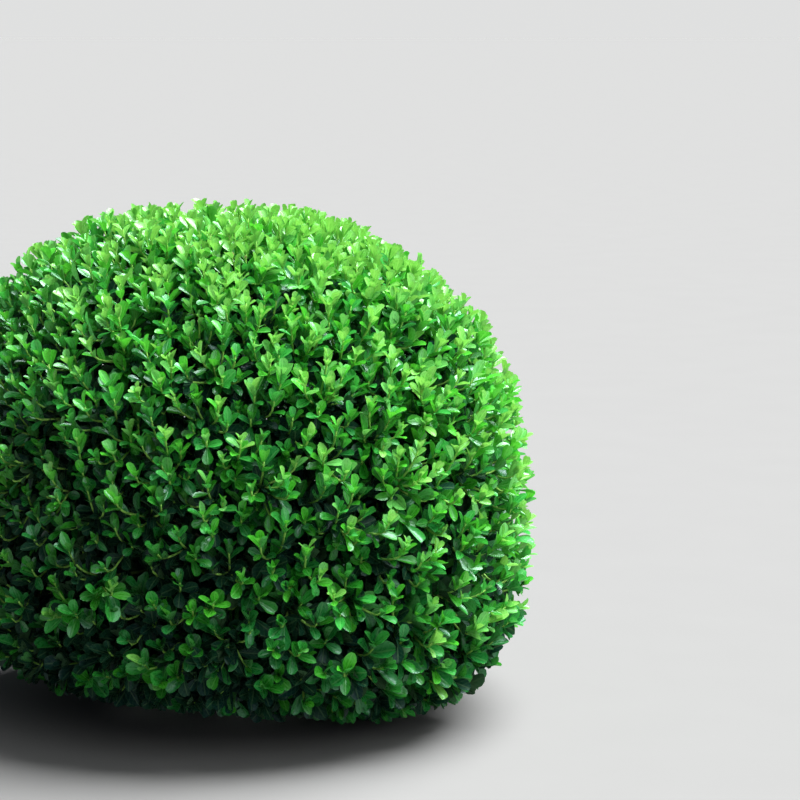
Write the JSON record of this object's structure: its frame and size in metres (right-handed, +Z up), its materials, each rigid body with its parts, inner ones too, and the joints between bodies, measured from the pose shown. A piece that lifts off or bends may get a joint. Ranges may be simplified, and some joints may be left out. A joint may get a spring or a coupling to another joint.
{
  "type": "clipped box ball shrub",
  "caption": "Evergreen box shrub clipped to a broad ball and rooted in open ground: a short flared stem, boughs that fork inside the crown, and a dense mass of small leaves.",
  "frame": {"origin": "centre of the flat cut under the stem, at ground level", "axes": "+Z up the stem, -Y towards the viewer of the picture, +X to the viewer's right"},
  "size_m": [0.5513, 0.557, 0.4792],
  "materials": {
    "bark": "rough grey-brown bark",
    "foliage": "small glossy evergreen leaves"
  },
  "bodies": {
    "root": {"stem": "bark", "bough_1": "bark", "bough_2": "bark", "bough_3": "bark", "bough_4": "bark", "bough_5": "bark", "bough_6": "bark", "bough_7": "bark", "foliage_ball": "foliage"}
  },
  "joints": []
}
